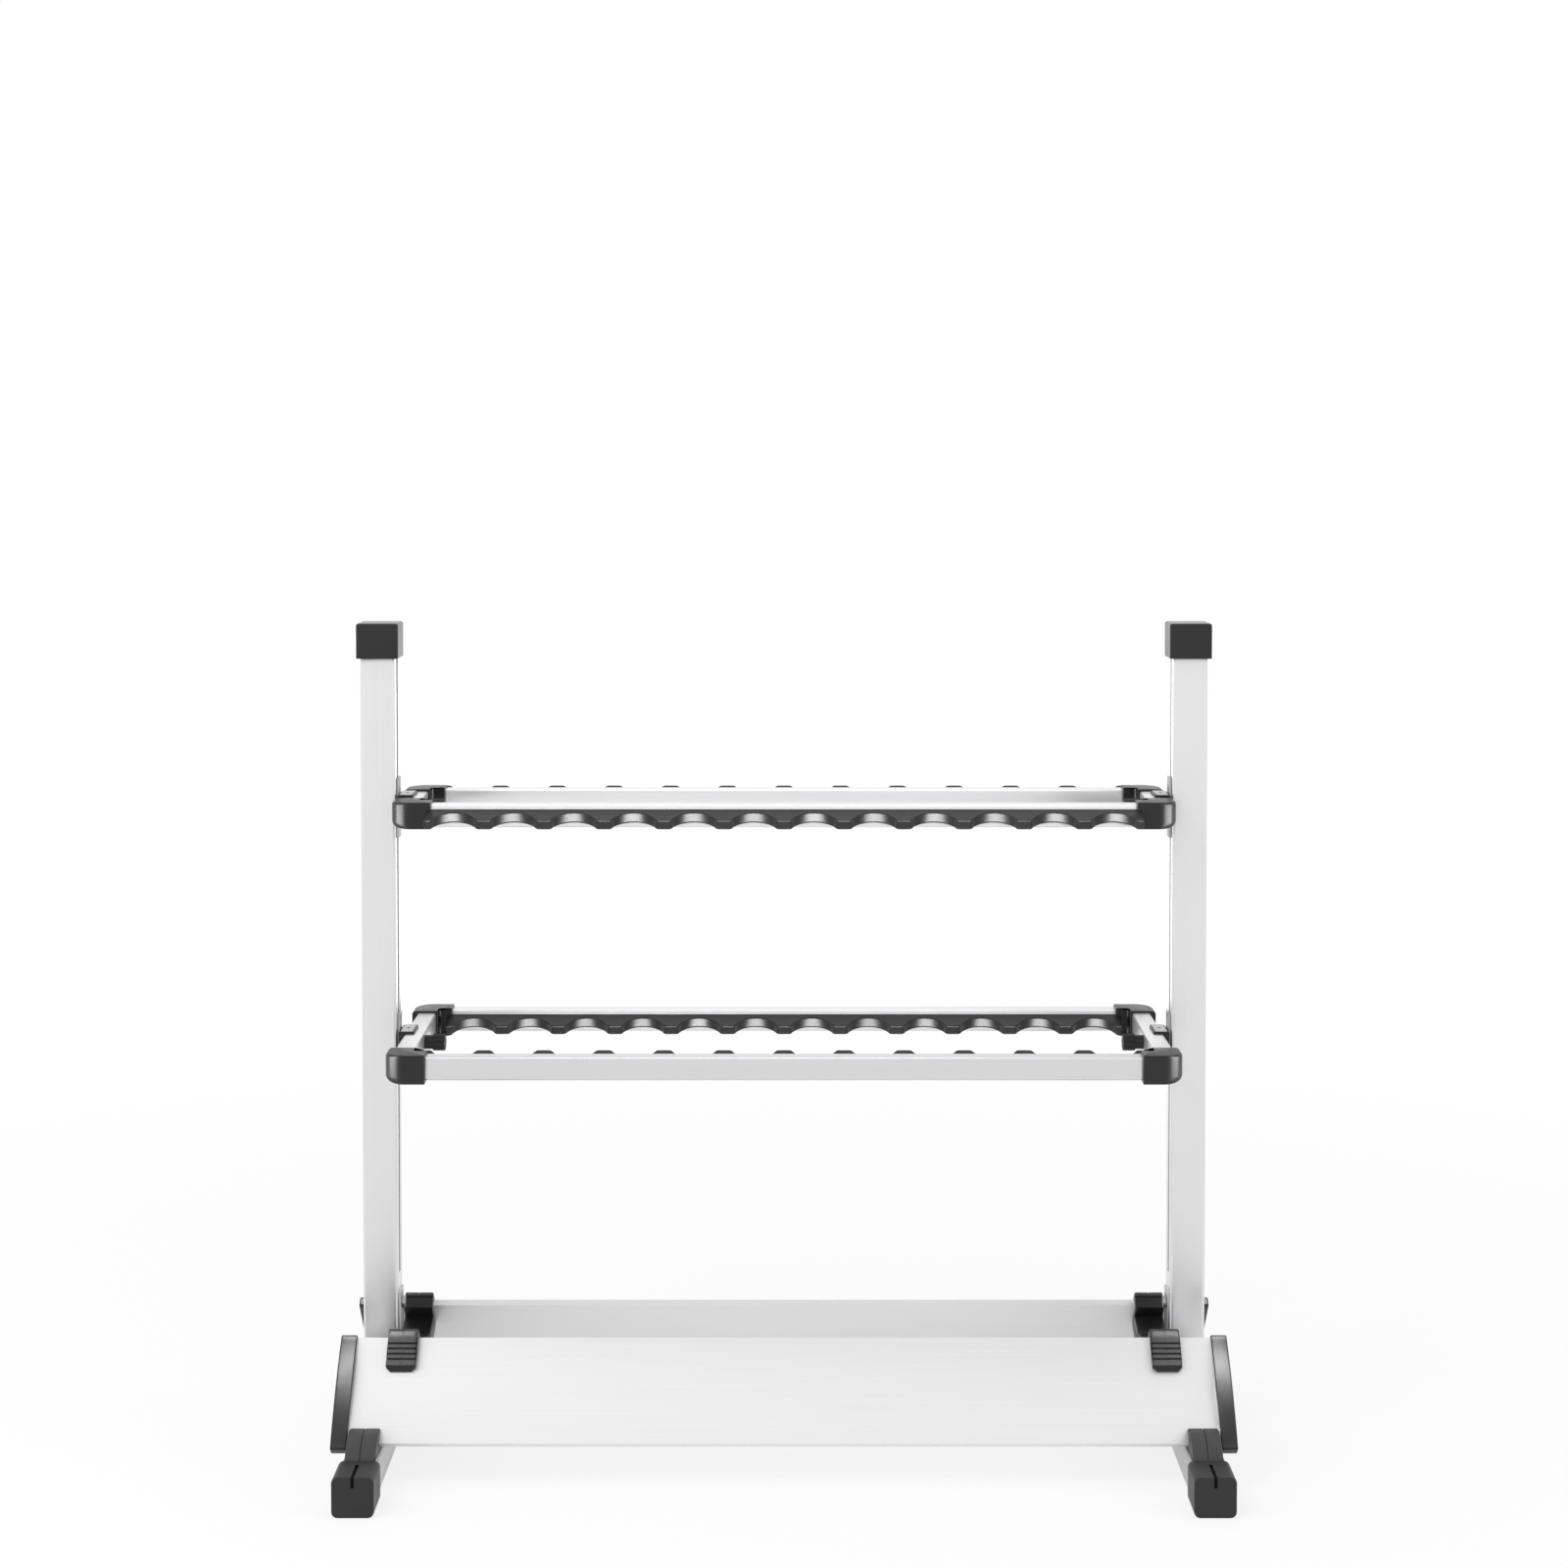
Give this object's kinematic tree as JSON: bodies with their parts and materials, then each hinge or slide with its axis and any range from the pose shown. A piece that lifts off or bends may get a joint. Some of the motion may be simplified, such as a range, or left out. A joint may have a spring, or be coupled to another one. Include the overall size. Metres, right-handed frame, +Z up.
{
  "type": "rod rack",
  "caption": "Free-standing rod rack: two posts carry two height-adjustable frames with scalloped grips above two sloping plates for the rod butts.",
  "frame": {"origin": "middle of the footprint, on the floor", "axes": "+X along the rails to the right seen from the front, +Y to the rear, +Z up"},
  "size_m": [0.6626, 0.336, 0.6275],
  "materials": {
    "aluminium_tube": "satin anodised",
    "butt_plate": "brushed along the plate",
    "steel": "zinc plated",
    "black_plastic": "moulded, soft sheen",
    "end_strip": "moulded, satin",
    "grip": "smooth soft grip"
  },
  "bodies": {
    "root": {"foot_tube_left": "aluminium_tube", "foot_tube_right": "aluminium_tube", "foot_cap_front_left": "black_plastic", "foot_cap_front_right": "black_plastic", "foot_cap_rear_left": "black_plastic", "foot_cap_rear_right": "black_plastic", "post_left": "aluminium_tube", "post_right": "aluminium_tube", "post_cap_left": "black_plastic", "post_cap_right": "black_plastic", "post_strap_left": "steel", "post_strap_right": "steel", "base_screws": "steel", "butt_plate_front": "butt_plate", "butt_plate_rear": "butt_plate", "plate_end_front_left": "end_strip", "plate_end_front_right": "end_strip", "plate_end_rear_left": "end_strip", "plate_end_rear_right": "end_strip", "toe_clip_front_left": "black_plastic", "toe_clip_front_right": "black_plastic", "toe_clip_rear_left": "black_plastic", "toe_clip_rear_right": "black_plastic", "latch_yoke_left": "black_plastic", "latch_yoke_right": "black_plastic", "latch_pins": "steel"},
    "latch_lever_front_left": {"latch_lever_front_left": "black_plastic"},
    "latch_lever_front_right": {"latch_lever_front_right": "black_plastic"},
    "latch_lever_rear_left": {"latch_lever_rear_left": "black_plastic"},
    "latch_lever_rear_right": {"latch_lever_rear_right": "black_plastic"},
    "lower_frame": {"lower_rail_front": "aluminium_tube", "lower_rail_rear": "aluminium_tube", "lower_bar_left": "aluminium_tube", "lower_bar_right": "aluminium_tube", "lower_corner_front_left": "black_plastic", "lower_corner_front_right": "black_plastic", "lower_corner_rear_left": "black_plastic", "lower_corner_rear_right": "black_plastic", "lower_grip_front": "grip", "lower_grip_rear": "grip", "lower_saddle_left": "black_plastic", "lower_saddle_right": "black_plastic", "lower_slide_nuts": "steel"},
    "lower_knob_left": {"lower_knob_left": "black_plastic"},
    "lower_knob_right": {"lower_knob_right": "black_plastic"},
    "upper_frame": {"upper_rail_front": "aluminium_tube", "upper_rail_rear": "aluminium_tube", "upper_bar_left": "aluminium_tube", "upper_bar_right": "aluminium_tube", "upper_corner_front_left": "black_plastic", "upper_corner_front_right": "black_plastic", "upper_corner_rear_left": "black_plastic", "upper_corner_rear_right": "black_plastic", "upper_grip_front": "grip", "upper_grip_rear": "grip", "upper_saddle_left": "black_plastic", "upper_saddle_right": "black_plastic", "upper_slide_nuts": "steel"},
    "upper_knob_left": {"upper_knob_left": "black_plastic"},
    "upper_knob_right": {"upper_knob_right": "black_plastic"}
  },
  "joints": [
    {"name": "lower_frame_slide", "type": "slide", "parent": "root", "child": "lower_frame", "axis": [0, 0, 1], "range_m": [-0.1, 0.06]},
    {"name": "upper_frame_slide", "type": "slide", "parent": "root", "child": "upper_frame", "axis": [0, 0, 1], "range_m": [-0.07, 0.085]},
    {"name": "lower_knob_turn_left", "type": "hinge", "parent": "lower_frame", "child": "lower_knob_left", "pos_m": [-0.27375, 0, 0.307], "axis": [-1, 0, 0], "continuous": true},
    {"name": "lower_knob_turn_right", "type": "hinge", "parent": "lower_frame", "child": "lower_knob_right", "pos_m": [0.27375, 0, 0.307], "axis": [1, 0, 0], "continuous": true},
    {"name": "upper_knob_turn_left", "type": "hinge", "parent": "upper_frame", "child": "upper_knob_left", "pos_m": [-0.27375, 0, 0.487], "axis": [-1, 0, 0], "continuous": true},
    {"name": "upper_knob_turn_right", "type": "hinge", "parent": "upper_frame", "child": "upper_knob_right", "pos_m": [0.27375, 0, 0.487], "axis": [1, 0, 0], "continuous": true},
    {"name": "latch_front_left", "type": "hinge", "parent": "root", "child": "latch_lever_front_left", "pos_m": [-0.28475, -0.0482, 0.09738], "axis": [-1, 0, 0], "range_deg": [0, 90]},
    {"name": "latch_front_right", "type": "hinge", "parent": "root", "child": "latch_lever_front_right", "pos_m": [0.28475, -0.0482, 0.09738], "axis": [-1, 0, 0], "range_deg": [0, 90]},
    {"name": "latch_rear_left", "type": "hinge", "parent": "root", "child": "latch_lever_rear_left", "pos_m": [-0.28475, 0.0482, 0.09738], "axis": [1, 0, 0], "range_deg": [0, 90]},
    {"name": "latch_rear_right", "type": "hinge", "parent": "root", "child": "latch_lever_rear_right", "pos_m": [0.28475, 0.0482, 0.09738], "axis": [1, 0, 0], "range_deg": [0, 90]}
  ]
}
